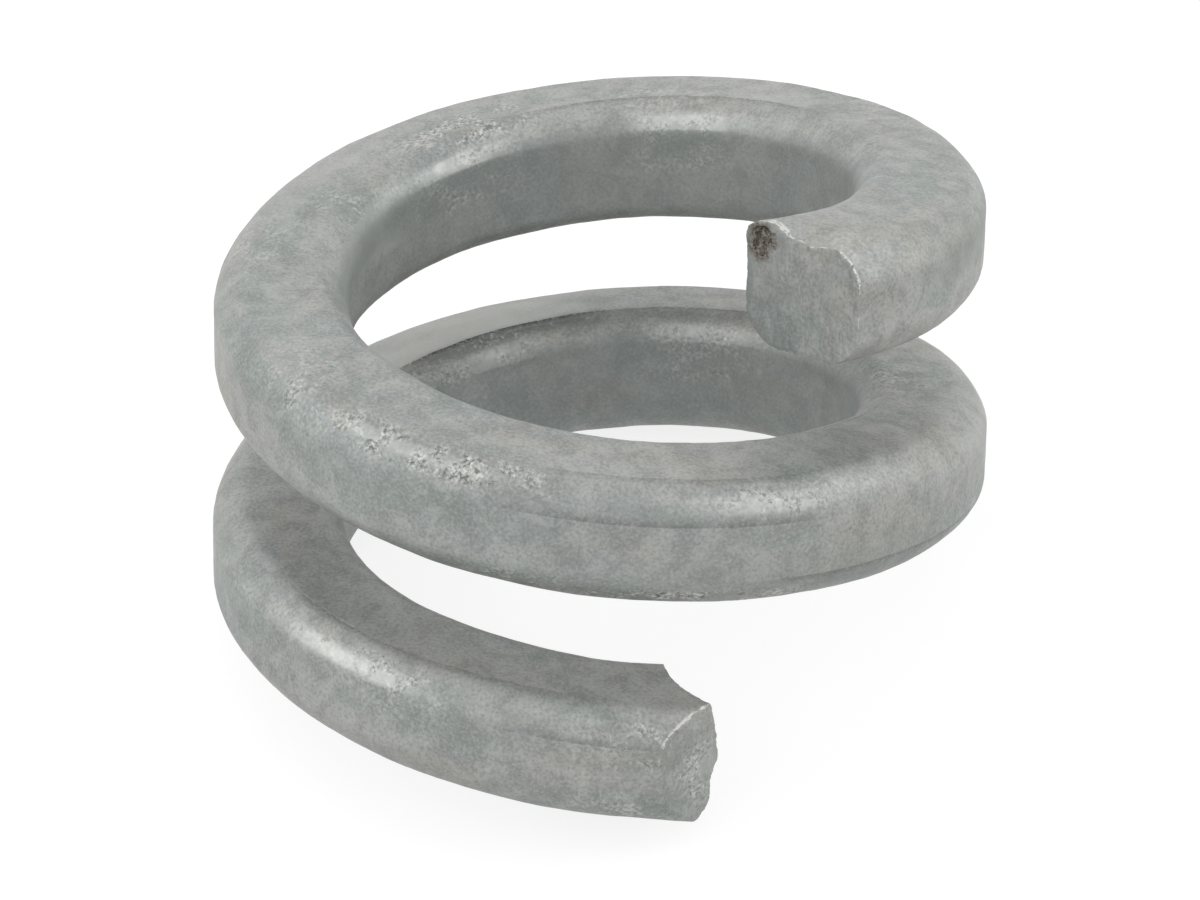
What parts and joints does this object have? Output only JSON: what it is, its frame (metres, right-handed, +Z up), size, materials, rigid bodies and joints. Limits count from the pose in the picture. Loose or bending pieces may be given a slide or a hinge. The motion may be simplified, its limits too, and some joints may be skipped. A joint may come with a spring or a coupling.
{
  "type": "spring lock washer",
  "caption": "Helical spring lock washer, coiled left-handed from square galvanised wire, that a nut squeezes flat so that it keeps its bolt under tension.",
  "frame": {"origin": "where the axis of the bore meets the surface that the washer rests on", "axes": "+Z up from that surface; +Y to the back and a little to the right, where the bore's axis leans; +X to the right, with the upper end at the front right"},
  "size_m": [0.0323, 0.034, 0.0225],
  "materials": {
    "zinc_coat": "matte hot-dip galvanised, mottled, on spring steel"
  },
  "bodies": {
    "root": {"washer": "zinc_coat"}
  },
  "joints": []
}
